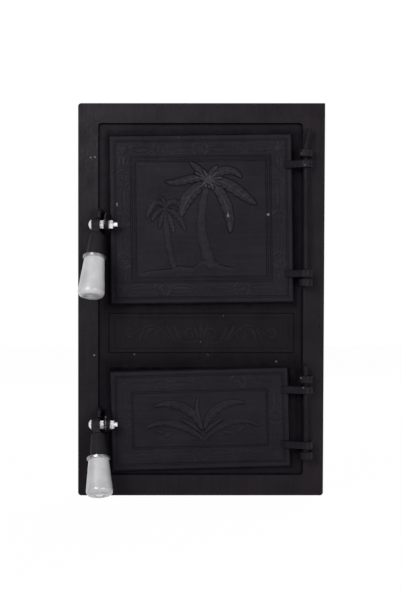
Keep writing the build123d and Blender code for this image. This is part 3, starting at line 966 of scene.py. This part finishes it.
def draw_plant(field: ReliefField) -> None:
    """Draws a low plant: four arched leaves from one root, a shoot and two young leaves."""
    field.ground([(-60.0, -31.5), (-30.0, -29.0), (0.0, -27.4), (34.0, -30.0), (62.0, -32.5)], 0.2, 6.0)
    for points, width, height, notch in (
        ([(2.8, -25.8), (-11.2, -15.9), (-30.1, -7.5), (-50.7, -4.4), (-69.9, -11.2)], 4.6, 0.52, (0.35, 0.05)),
        ([(5.1, -25.8), (17.4, -15.1), (33.5, -7.6), (52.7, -3.9), (74.7, -11.8)], 4.4, 0.44, (0.05, 0.35)),
        ([(0.2, -13.5), (-9.6, 6.5), (-26.3, 15.3), (-45.2, 20.5), (-59.0, 16.3)], 6.0, 0.62, (0.4, 0.04)),
        ([(5.0, -13.2), (13.8, 4.6), (29.4, 15.4), (43.8, 20.3), (58.1, 18.5)], 5.6, 0.56, (0.04, 0.4)),
        ([(0.0, -17.0), (-12.0, -7.0), (-27.0, 1.5)], 2.8, 0.5, (0.2, 0.1)),
        ([(5.0, -17.0), (16.0, -8.0), (30.0, 0.5)], 2.8, 0.5, (0.1, 0.2)),
        ([(2.6, -14.0), (-3.0, 2.0), (-4.4, 14.5), (-1.2, 28.4)], 3.2, 0.62, (0.1, 0.1)),
    ):
        field.leaf(smooth_path(points), width, height, 7.0, notch, 0.6)
    for centre, radii, turn in (
        ((-51.0, -15.2), (6.4, 2.6), -14.0),
        ((-41.0, -18.4), (7.0, 2.8), 24.0),
        ((34.0, -17.5), (5.6, 2.2), -10.0),
        ((51.0, -14.0), (6.2, 2.6), 38.0),
        ((3.6, -25.8), (5.0, 3.2), 0.0),
    ):
        field.bump(centre, radii, 0.42, turn)


def draw_scrolls(field: ReliefField) -> None:
    """Draws paired scrolls with leaves, mirrored about the middle."""
    mirrored = ReliefField(np.abs(field.x), field.z)
    for path, widths in (
        (spiral((13.0, -2.0), (9.5, 1.6), (200.0, -250.0), 60), (1.4, 0.8)),
        (smooth_path([(4.0, -9.5), (22.0, -12.6), (38.0, -6.0), (50.0, 4.5)], 40), (1.2, 1.1)),
        (spiral((50.0, -3.2), (7.8, 1.4), (88.0, -330.0), 60), (1.2, 0.8)),
        (smooth_path([(50.0, 4.6), (66.0, 8.4), (80.0, 1.0), (92.0, -6.0)], 40), (1.1, 1.0)),
        (spiral((89.0, 1.0), (7.2, 1.4), (-82.0, 300.0), 60), (1.1, 0.7)),
    ):
        mirrored.stroke(path, widths, 0.3)
    for points, width in (
        ([(0.0, -8.0), (0.0, 2.0), (0.0, 13.5)], 3.4),
        ([(2.0, -6.0), (7.0, 3.0), (9.0, 12.5)], 2.2),
        ([(24.0, -10.5), (30.0, -2.0), (33.0, 9.5)], 2.6),
        ([(30.0, -9.5), (40.0, 2.0), (43.0, 11.5)], 2.2),
        ([(60.0, 6.5), (68.0, 0.0), (70.0, -11.5)], 2.6),
        ([(70.0, 5.0), (76.0, -4.0), (78.0, -12.5)], 2.2),
    ):
        mirrored.leaf(smooth_path(points, degree=2), width, 0.28, 5.0, (0.2, 0.2))
    field.height = mirrored.height


@dataclass
class ScrollBorder:
    """The band of rings and long leaves between two beads of a door."""

    name: str
    plate: Plate
    outer_inset: float
    inner_inset: float
    bays: tuple[float, float]
    rub: float = 0.17
    # How dark the painted shade in the creases round the rings and leaves is.
    outline: float = 2.6
    across_points: int = 33
    pitch: float = 0.6
    lift: float = 0.06
    root: float = 0.5
    drawn_bay: float = 52.0
    drawn_half: float = 9.3

    def make(self, paint: bpy.types.Material) -> bpy.types.Object:
        """Builds the band as one closed ring.

        One direction of the grid goes from the outer inset to the inner one, and the other goes
        round the rectangle at that inset, so that the corners are mitred.

        Args:
            paint: The door's finish.

        Returns:
            The piece.
        """
        inset = np.linspace(self.outer_inset, self.inner_inset, self.across_points)
        plate = self.plate
        half_x, half_z = plate.half
        counts = [int(round(2 * h / self.pitch)) for h in (half_x, half_z)]
        along_x, along_z = (np.linspace(-1.0, 1.0, n, endpoint=False) for n in counts)
        unit_x = np.concatenate([along_x, np.ones(len(along_z)), -along_x, -np.ones(len(along_z))])
        unit_z = np.concatenate([-np.ones(len(along_x)), along_z, np.ones(len(along_x)), -along_z])
        sides = ((along_x, 0), (along_z, 1)) * 2
        upright = np.concatenate([np.full(len(side), kind) for side, kind in sides])
        reach_x, reach_z = (half_x - inset)[:, None], (half_z - inset)[:, None]
        dx, dz = reach_x * unit_x[None, :], reach_z * unit_z[None, :]
        mid = (self.outer_inset + self.inner_inset) / 2
        along = np.where(upright == 1, np.abs(dz), np.abs(dx))
        room = np.where(upright == 1, half_z - self.inner_inset, half_x - self.inner_inset)
        bays = np.where(upright == 1, self.bays[1], self.bays[0])
        across = (mid - inset)[:, None] * np.ones(unit_x.shape)[None, :]
        uneven = 0.72 + 0.28 * np.sin(0.071 * dx + 0.9) * np.sin(0.083 * dz + 0.4)
        height = uneven * self._relief(along, across, room[None, :] * np.ones(along.shape), bays)
        shape = Shape(self.name)
        front = plate.place(dx, dz, plate.face - self.lift - height)
        back = plate.place(dx, dz, np.full(dx.shape, plate.face + self.root))
        ring = np.concatenate([front, back[[-1, 0]]])
        field = ReliefField(dx, dz)
        field.height = height
        # Rubbing on the high places and painted shade in the creases.
        wear_and_shade = field.rubbing_and_shade(height.max(), self.rub, self.outline)
        wear_and_shade = np.concatenate([wear_and_shade, np.zeros((2, dx.shape[1]))])
        shape.grid(ring, wrap=(True, True), wear_and_shade=wear_and_shade, flip=True)
        piece = shape.build()
        piece.data.materials.append(paint)
        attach(piece, plate.body)
        return piece

    def _relief(self, along: Array, across: Array, room: Array, bays: Array) -> Array:
        """Works out the heights of the rings and leaves.

        Along each side the place is folded into bays that start at the side's middle. A curl round
        an eye stands at each end of a bay, a long lens of two arcs with a leaf inside it lies
        between them, and four short leaves spring from the lens's ends. Past the sides' ends, at
        the corners, a rosette of eight petals takes their place.

        Args:
            along: Distance from the middle of the side.
            across: Distance from the band's middle, outwards.
            room: Half the length of the side between the corners.
            bays: How many bays half a side has.

        Returns:
            The height at each point.
        """
        bay = room / bays
        place = np.mod(along, bay) / bay
        half = (self.inner_inset - self.outer_inset) / 2
        local = ReliefField(place * self.drawn_bay, across * (self.drawn_half / half))
        for centre in (0.0, self.drawn_bay):
            local.stroke(spiral((centre, -0.5), (5.9, 1.5), (60.0, 500.0), 60), (1.0, 1.3), 0.30)
            local.bump((centre, -0.5), (1.7, 1.7), 0.42)
        for sag in (-6.0, 3.6):
            arc = [(8.5, 1.2), (17.0, 0.8 * sag), (26.0, sag), (35.0, 0.8 * sag), (43.5, 1.2)]
            local.stroke(smooth_path(arc, 40, 4), (0.9, 1.2), 0.27)
        long_leaf = smooth_path([(13.0, -0.6), (26.0, -1.8), (39.0, -0.6)], 24)
        local.leaf(long_leaf, 2.4, 0.32, 5.0, (0.2, 0.2))
        for points in (
            [(10.5, 1.0), (7.5, 5.0), (3.5, 7.8)],
            [(10.5, -1.0), (7.5, -5.0), (3.5, -7.8)],
            [(41.5, 1.0), (44.5, 5.0), (48.5, 7.8)],
            [(41.5, -1.0), (44.5, -5.0), (48.5, -7.8)],
        ):
            local.leaf(smooth_path(points, 16), 2.0, 0.36, 3.0, (0.2, 0.2))
        past = along - room - half
        radius = np.hypot(past, across)
        petals = 0.55 + 0.45 * np.cos(4.0 * np.arctan2(across, past)) ** 2
        rosette = 0.36 * np.sqrt(np.clip(1.0 - (radius / (7.4 * petals)) ** 2, 0.0, 1.0))
        eye = 0.42 * np.sqrt(np.clip(1.0 - (radius / 2.0) ** 2, 0.0, 1.0))
        side = smooth_step((room - along) / 1.2)
        return np.where(along < room, local.height * side, np.maximum(rosette, eye))


@dataclass
class Latch:
    """The finer pieces of a gravity latch: the lever's grip, and the bolt that the lever turns on."""

    leaf: str
    hub_middle: float
    bolt_y: float
    bolt_z: float
    tilt: float
    lean: float
    grip_length: float
    shoulder: float
    neck_offset: float
    neck_length: float = 42.3
    ferrule_height: float = 4.0
    cup_depth: float = 1.5
    grip_top_radius: float = 12.5
    grip_end_radius: float = 17.3
    grip_round: float = 6.0
    recess_radius: float = 6.0
    recess_depth: float = 3.0
    lip_round: float = 0.9
    bore: float = 3.3
    bolt_radius: float = 3.0
    bolt_length: float = 32.8
    plain_length: float = 12.0
    point_bevel: float = 0.7
    head_radius: float = 6.7
    head_height: float = 3.8
    thread_pitch: float = 1.0
    thread_depth: float = 0.42
    thread_run_in: float = 1.5

    def place(self) -> Matrix:
        """Returns where the neck's own frame lies, with the grip below its zero."""
        hub = Matrix.Translation(Vector((self.hub_middle, self.bolt_y, self.bolt_z)))
        tilt = Matrix.Rotation(math.radians(-self.tilt), 4, "X")
        aside = Matrix.Translation(Vector((self.neck_offset, 0.0, 0.0)))
        lean = Matrix.Rotation(math.radians(-self.lean), 4, "Y")
        return hub @ tilt @ aside @ lean

    def turned(self, profile: Array, segments: int) -> Array:
        """Carries a profile round the neck's axis.

        Args:
            profile: Radius and height of each point of the profile.
            segments: How many places the turn has.

        Returns:
            Places in the part's frame, as profile points by segments by three.
        """
        turn = np.linspace(0.0, 2 * math.pi, segments, endpoint=False)
        radius, height = profile[:, :1], profile[:, 1:] + 0.0 * turn
        x, y = radius * np.cos(turn), radius * np.sin(turn)
        local = np.stack([x, y, height, np.ones_like(height)], axis=-1)
        return (local @ np.asarray(self.place()).T)[..., :3]

    def grip(self, glaze: bpy.types.Material) -> bpy.types.Object:
        """Builds the glazed grip.

        Its profile is a line from the narrow top towards the wide end, an arc that touches the
        line and the flat end, and the recess, and it is carried once round the neck's axis.

        Args:
            glaze: The grip's finish.

        Returns:
            The piece.
        """
        top = -self.neck_length - self.ferrule_height + self.cup_depth
        end = top - self.grip_length
        flare = math.atan2(self.grip_end_radius - self.grip_top_radius, self.grip_length)
        rounded = self.grip_round
        centre = self.grip_end_radius - rounded * math.tan(flare) - rounded / math.cos(flare)
        arc = np.linspace(flare, -math.pi / 2, 18)
        rim = np.stack([centre + rounded * np.cos(arc), end + rounded + rounded * np.sin(arc)], axis=1)
        share = np.linspace(0.0, 1.0, 40)[1:-1, None]
        side = np.array([self.grip_top_radius, top]) * (1.0 - share) + rim[0] * share
        quarter = np.radians(np.linspace(0.0, 90.0, 14))
        lip_radius = self.recess_radius + self.lip_round - self.lip_round * np.sin(quarter)
        lip = np.stack([lip_radius, end + self.lip_round - self.lip_round * np.cos(quarter)], axis=1)
        floor = end + self.recess_depth
        inside = np.array(
            [
                [self.recess_radius, floor],
                [self.bore, floor],
                [self.bore, top],
                [self.grip_top_radius - 0.6, top],
                [self.grip_top_radius, top - 0.5],
            ]
        )
        profile = np.concatenate([side, rim, lip, inside])
        shape = Shape(f"{self.leaf}_glazed_grip")
        shape.grid(self.turned(profile, 96), wrap=(True, True))
        piece = shape.build()
        piece.data.materials.append(glaze)
        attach(piece, f"{self.leaf}_lever")
        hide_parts(f"{self.leaf}_grip")
        return piece

    def bolt(self, zinc: bpy.types.Material) -> bpy.types.Object:
        """Builds the cup head bolt with its thread.

        The shank's radius is a triangle wave of the place along it less the share of the turn, so
        that the ridge winds as a screw. The head is an arc carried round the same axis.

        Args:
            zinc: The bolt's finish.

        Returns:
            The piece.
        """
        segments = 48
        turn = np.linspace(0.0, 2 * math.pi, segments, endpoint=False)
        length, plain = self.bolt_length, self.plain_length
        threaded_rows = np.linspace(plain + 0.12, length, int((length - plain) / 0.14))
        along = np.concatenate([np.linspace(0.0, plain, 4), threaded_rows])
        wave = np.mod(along[:, None] / self.thread_pitch - turn[None, :] / (2 * math.pi), 1.0)
        ridge = 1.0 - 2.0 * np.abs(wave - 0.5)
        threaded = smooth_step((along[:, None] - plain) / self.thread_run_in) * np.ones(segments)
        radius = self.bolt_radius - self.thread_depth * threaded * (1.0 - np.clip(1.6 * ridge, 0.0, 1.0))
        bevel = np.clip(along[:, None] - length + self.point_bevel, 0.0, self.point_bevel)
        radius = np.minimum(radius, self.bolt_radius - bevel)
        arc = np.linspace(0.0, 1.0, 14)[1:]
        ball = (self.head_radius**2 + self.head_height**2) / (2 * self.head_height)
        half_angle = math.asin(self.head_radius / ball)
        head_radius = ball * np.sin(half_angle * arc)
        head_x = -self.head_height + ball * (1.0 - np.cos(half_angle * arc))
        rows_r = np.concatenate([head_radius[:, None] * np.ones(segments), radius])
        rows_x = np.concatenate([head_x, along])
        points = np.stack(
            [
                self.shoulder + rows_x[:, None] + 0.0 * turn,
                self.bolt_y + rows_r * np.cos(turn),
                self.bolt_z + rows_r * np.sin(turn),
            ],
            axis=-1,
        )
        shape = Shape(f"{self.leaf}_threaded_bolt")
        start = shape.grid(points, wrap=(False, True), flip=True)
        shape.cap(start + np.arange(segments)[::-1])
        shape.cap(start + (len(points) - 1) * segments + np.arange(segments))
        piece = shape.build()
        piece.data.materials.append(zinc)
        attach(piece, f"{self.leaf}_door")
        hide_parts(f"{self.leaf}_latch_bolt")
        return piece


@dataclass
class Studio:
    """The camera, the lamps, the floor and the white surroundings."""

    camera_away: float = 1506.0
    camera_height: float = 248.4
    lens: float = 70.53
    floor_half: float = 5000.0

    def camera(self) -> None:
        """Sets the camera square to the door, at the photograph's distance."""
        data = bpy.data.cameras.new("camera")
        data.lens = self.lens
        data.sensor_width = 36.0
        data.clip_start, data.clip_end = 0.05, 50.0
        camera = bpy.data.objects.new("camera", data)
        camera.location = (0.0, -self.camera_away * MM, self.camera_height * MM)
        camera.rotation_euler = (math.radians(90.0), 0.0, 0.0)
        bpy.context.scene.collection.objects.link(camera)
        bpy.context.scene.camera = camera

    @staticmethod
    def lamp(name: str, place: Sequence[float], aim: Sequence[float], size: Point, power: float) -> None:
        """Hangs a soft rectangular lamp.

        Args:
            name: Its name.
            place: Where it hangs, in metres.
            aim: Where it points, in metres.
            size: Its width and height in metres.
            power: Its power in watts.
        """
        data = bpy.data.lights.new(name, "AREA")
        data.shape = "RECTANGLE"
        data.size, data.size_y = size
        data.energy = power
        lamp = bpy.data.objects.new(name, data)
        lamp.location = place
        lamp.rotation_euler = (Vector(aim) - Vector(place)).to_track_quat("-Z", "Y").to_euler()
        bpy.context.scene.collection.objects.link(lamp)

    def floor(self) -> None:
        """Lays the pale floor, which shows white to the camera and keeps a soft shadow."""
        half = self.floor_half
        corner = np.array([[-half, half], [-half, half]])
        points = np.stack([corner, np.array([[-half, -half], [half, half]]), np.zeros((2, 2))], axis=-1)
        shape = Shape("floor")
        shape.grid(points, rounded=False, flip=True)
        floor = shape.build()
        material = bpy.data.materials.new("pale_floor")
        material.use_nodes = True
        graph = Graph(material.node_tree)
        paper = graph.add("ShaderNodeBsdfDiffuse", None, {"Color": (0.82, 0.82, 0.82)})
        white = graph.add("ShaderNodeEmission", None, {"Color": (1.0, 1.0, 1.0), "Strength": 1.0})
        share = graph.math("MULTIPLY", self._seen(graph), 0.985)
        graph.add("ShaderNodeOutputMaterial", None, {"Surface": graph.cover(share, paper, white)})
        floor.data.materials.append(material)

    @staticmethod
    def _seen(graph: Graph) -> Socket:
        """Marks the rays that see the surroundings: from the camera, a gloss or a clear body.

        Args:
            graph: The floor's nodes.

        Returns:
            1 for those rays and 0 for the rest.
        """
        rays = graph.add("ShaderNodeLightPath").outputs
        seen = graph.math("MAXIMUM", rays["Is Camera Ray"], rays["Is Glossy Ray"])
        return graph.math("MAXIMUM", seen, rays["Is Transmission Ray"])

    def world(self, ambient: float) -> None:
        """Fills the surroundings with grey light, white behind the door where they are seen.

        Args:
            ambient: Strength of the light from all round.
        """
        world = bpy.data.worlds.new("studio")
        bpy.context.scene.world = world
        world.use_nodes = True
        graph = Graph(world.node_tree)
        rays = graph.add("ShaderNodeLightPath").outputs
        way = graph.split(graph.add("ShaderNodeTexCoord").outputs["Generated"])
        behind = graph.spread(way["Y"], (-0.1, 0.35), (0.0, 1.0))
        bent = graph.math("MAXIMUM", rays["Is Glossy Ray"], rays["Is Transmission Ray"])
        seen = graph.math("MAXIMUM", rays["Is Camera Ray"], graph.math("MULTIPLY", bent, behind))
        strength = graph.math("ADD", graph.math("MULTIPLY", seen, 1.0 - ambient), ambient)
        back = graph.add("ShaderNodeBackground", None, {"Color": (1.0, 1.0, 1.0), "Strength": strength})
        graph.add("ShaderNodeOutputWorld", None, {"Surface": back.outputs[0]})

    def build(self) -> None:
        """Sets up the whole studio."""
        self.camera()
        self.floor()
        self.world(0.12)
        self.lamp("key", (-1.0, -1.8, 1.1), (0.0, 0.0, 0.25), (0.8, 0.9), 35.0)
        self.lamp("fill", (1.4, -2.0, 0.6), (0.0, 0.0, 0.25), (0.8, 1.3), 32.0)
        self.lamp("back", (0.9, 1.9, 1.5), (0.0, 0.0, 0.25), (1.2, 1.2), 45.0)
        view = bpy.context.scene.view_settings
        view.view_transform = "Standard"


def painted_highlight_edge(x: float, low: float, high: float, radius: float) -> tuple[Place, ...]:
    """Places painted highlights along an upright edge, one to every 2.8 mm, each a little to one side of it.

    Args:
        x: Where the edge lies across the door.
        low: Where the highlights start.
        high: Where they end.
        radius: About how big each is.

    Returns:
        The highlights' places in the front view, each with its radius.
    """
    return tuple(
        (x + 0.2 * math.cos(5.0 * z), float(z), radius * (0.9 + 0.15 * math.sin(z)))
        for z in np.arange(low, high, 2.8)
    )


class StoveDoor:
    """The whole stove door."""

    upper_plate = Plate("upper_door", -116.0, 117.8, 244.5, 459.9, -9.2, 0.7)
    lower_plate = Plate("lower_door", -114.5, 113.5, 34.0, 161.5, -9.2, 1.5)
    panel = Plate("frame", -117.2, 119.0, 181.5, 232.5, -3.5)
    recess = Plate("frame", -132.0, 132.0, 26.2, 474.6, -1.5)
    # Insets of the beads, along whose feet painted shade runs.
    door_beads = (
        (upper_plate, (6.6, 9.2, 27.1, 29.7, 32.1, 34.7)),
        (lower_plate, (6.6, 9.2, 27.1, 29.7)),
    )
    panel_beads = (5.2, 7.8)
    # Painted shadows on the seat round each door, and painted shade along the inside of the recess's edge.
    painted_seat_shades = (
        PaintedSeatShade(upper_plate, 0.75, 0.7, 20.0),
        PaintedSeatShade(lower_plate, 0.35, 0.72, 45.0),
        PaintedSeatShade(lower_plate, 0.0, 0.95, 5.5),
        PaintedSeatShade(recess, 0.95, 0.95, -6.0),
    )
    # Flaked spots of uncoated iron, and painted highlights on the hinge eyes and along the latch ears' front
    # edges.
    door_chips_and_highlights = (
        (-106.4, 371.3, 0.9), (-106.0, 369.0, 0.6), (35.1, 355.8, 1.2), (34.6, 358.2, 0.8),
        (86.1, 357.5, 1.7), (-28.0, 455.5, 0.4), (131.5, 418.9, 0.6), (129.0, 138.9, 0.7),
        *painted_highlight_edge(-120.6, 345.0, 361.0, 0.85),
        *painted_highlight_edge(-119.2, 84.5, 101.5, 0.85),
    )
    # Flaked spots of uncoated iron, and painted highlights on the frame's hinge lugs.
    frame_chips_and_highlights = (
        (-140.1, 430.6, 0.9), (-134.7, 431.0, 1.0), (-135.5, 178.8, 0.9), (-84.3, 179.7, 0.9),
        (96.6, 170.5, 1.1), (0.0, 195.6, 0.7), (126.6, 150.5, 0.8), (127.2, 433.5, 0.6),
        (9.6, 178.9, 0.6), (28.7, 229.0, 0.6),
    )

    def __init__(self, nodes: dict[str, bpy.types.Object]) -> None:
        """Makes the finishes.

        Args:
            nodes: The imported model's pieces by name.
        """
        self.nodes = nodes
        self.door_paint = {
            plate.body: StovePaint(
                f"{plate.body}_paint",
                "painted_iron",
                deep=(0.0046, 0.0031, 0.0058),
                dusty=(0.0078, 0.0057, 0.0093),
                # Painted shade along the door's beads.
                beaded=plate,
                beads=beads,
                # Flaked spots and painted highlights.
                chips_and_highlights=self.door_chips_and_highlights,
            ).make()
            for plate, beads in self.door_beads
        }
        self.lever_paint = StovePaint(
            "lever_paint",
            "painted_iron",
            deep=(0.0095, 0.0075, 0.0102),
            dusty=(0.0140, 0.0112, 0.0148),
            roughness=(0.58, 0.70),
            grain_depth=0.08,
        ).make()
        self.frame_paint = StovePaint(
            "frame_paint",
            "painted_iron",
            deep=(0.0060, 0.0042, 0.0061),
            dusty=(0.0092, 0.0068, 0.0093),
            gloss=0.10,
            # Painted shade in the recess.
            recess_shade=0.38,
            # Painted light towards the top left corner.
            painted_light=0.15,
            brushed=(300.0, 14.0, 14.0),
            # Painted shadows round the doors and painted shade along the recess's edge.
            painted_seat_shades=self.painted_seat_shades,
            # Painted shade along the panel's beads.
            beaded=self.panel,
            beads=self.panel_beads,
            # Flaked spots and painted highlights.
            chips_and_highlights=self.frame_chips_and_highlights,
            behind=-1.2,
        ).make()
        self.rod_paint = StovePaint(
            "rod_paint",
            "painted_steel",
            deep=(0.0050, 0.0042, 0.0055),
            dusty=(0.0085, 0.0070, 0.0090),
            gloss=0.08,
            grain_depth=0.04,
        ).make()
        self.zinc = PlatedMetal(
            "zinc_plate",
            "zinc_steel",
            tint=(0.86, 0.87, 0.89),
            clouded=(0.70, 0.71, 0.73),
            roughness=(0.26, 0.42),
            metallic=0.5,
        ).make()
        self.nickel = PlatedMetal(
            "nickel_plate",
            "grip_ring",
            tint=(0.38, 0.38, 0.395),
            clouded=(0.27, 0.27, 0.28),
            roughness=(0.34, 0.48),
        ).make()
        self.glaze = Glaze("grey_glaze", "glazed_grip").make()

    def dress_castings(self) -> None:
        """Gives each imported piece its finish."""
        finish = {
            "hinge_pin": self.rod_paint,
            "latch_lever": self.lever_paint,
            "grip_ferrule": self.nickel,
            "grip_screw": self.zinc,
            "latch_bolt": self.zinc,
            "jam_nut": self.zinc,
            "lock_nut": self.zinc,
            "grip": self.glaze,
        }
        for name, node in self.nodes.items():
            kind = name.split("_", 1)[-1]
            iron = self.door_paint.get(name, self.frame_paint)
            node.data.materials.clear()
            node.data.materials.append(finish.get(kind, iron))

    def fields(self) -> list[CastField]:
        """Returns the two doors' pictures and the panel's scrolls."""
        return [
            CastField("upper_palms", self.upper_plate, Ornament.PALMS, inset=33.4, rub=0.8),
            CastField("lower_plant", self.lower_plate, Ornament.PLANT, inset=28.4, rub=0.2),
            CastField("panel_scrolls", self.panel, Ornament.SCROLLS, inset=6.5, rub=0.16),
        ]

    def borders(self) -> list[ScrollBorder]:
        """Returns the two doors' borders."""
        return [
            ScrollBorder("upper_border", self.upper_plate, 7.9, 28.4, bays=(1.75, 1.5)),
            ScrollBorder(
                "lower_border", self.lower_plate, 7.9, 28.4, bays=(1.75, 0.75), rub=0.10, outline=1.8
            ),
        ]

    def latches(self) -> list[Latch]:
        """Returns the two latches."""
        return [
            Latch(
                "upper",
                hub_middle=-131.8,
                bolt_y=-24.0,
                bolt_z=344.0,
                tilt=18.5,
                lean=-3.6,
                grip_length=51.2,
                shoulder=-137.1,
                neck_offset=2.5,
            ),
            Latch(
                "lower",
                hub_middle=-131.7,
                bolt_y=-24.0,
                bolt_z=92.3,
                tilt=23.5,
                lean=3.5,
                grip_length=46.7,
                shoulder=-137.0,
                neck_offset=2.2,
            ),
        ]

    def build(self) -> None:
        """Builds and reports every piece."""
        self.dress_castings()
        for field in self.fields():
            self.report(field.make(self.door_paint.get(field.plate.body, self.frame_paint)))
        for border in self.borders():
            self.report(border.make(self.door_paint[border.plate.body]))
        for latch in self.latches():
            self.report(latch.grip(self.glaze))
            self.report(latch.bolt(self.zinc))

    @staticmethod
    def report(piece: bpy.types.Object) -> None:
        """Logs a piece's name and its numbers of points and faces."""
        mesh = piece.data
        LOG.info("%s: %d points, %d faces", piece.name, len(mesh.vertices), len(mesh.polygons))


def main() -> None:
    """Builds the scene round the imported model."""
    logging.basicConfig(level=logging.INFO, format="%(message)s")
    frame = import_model()
    StoveDoor(frame["nodes"]).build()
    Studio().build()


if __name__ == "__main__":
    main()
